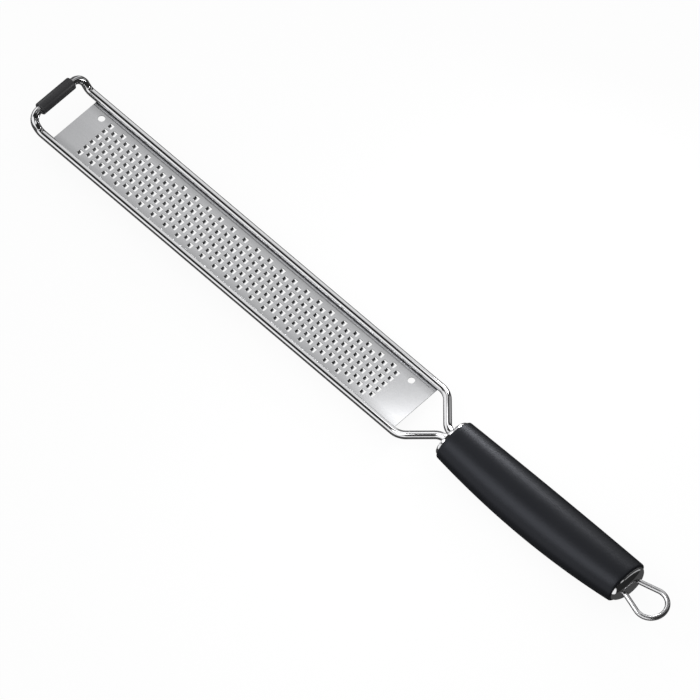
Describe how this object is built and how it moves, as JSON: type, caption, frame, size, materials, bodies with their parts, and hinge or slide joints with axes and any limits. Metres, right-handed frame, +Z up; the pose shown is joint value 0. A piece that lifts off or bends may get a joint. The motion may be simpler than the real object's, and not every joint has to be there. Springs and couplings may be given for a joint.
{
  "type": "fine grater",
  "caption": "Hand-held fine grater: long toothed blade in a bent wire frame, raised foot with a rubber sleeve, oval soft grip and wire hanging loop.",
  "frame": {"origin": "centre of the bounding box, at the level of the surface that the grip's belly lies on", "axes": "+X from the foot at the tip to the hanging loop, +Y towards the side with the two round holes, +Z up and away from the teeth"},
  "size_m": [0.3958, 0.036, 0.0217],
  "materials": {
    "blade_steel": "satin rolled sheet",
    "wire_steel": "polished stainless wire",
    "cap_steel": "polished stainless cap",
    "grip_plastic": "soft-touch matte",
    "sleeve_rubber": "matte black rubber"
  },
  "bodies": {
    "root": {"blade": "blade_steel", "wire_frame": "wire_steel", "tip_sleeve": "sleeve_rubber", "front_cap": "cap_steel", "grip": "grip_plastic", "rear_cap": "cap_steel", "hanging_loop": "wire_steel"}
  },
  "joints": []
}
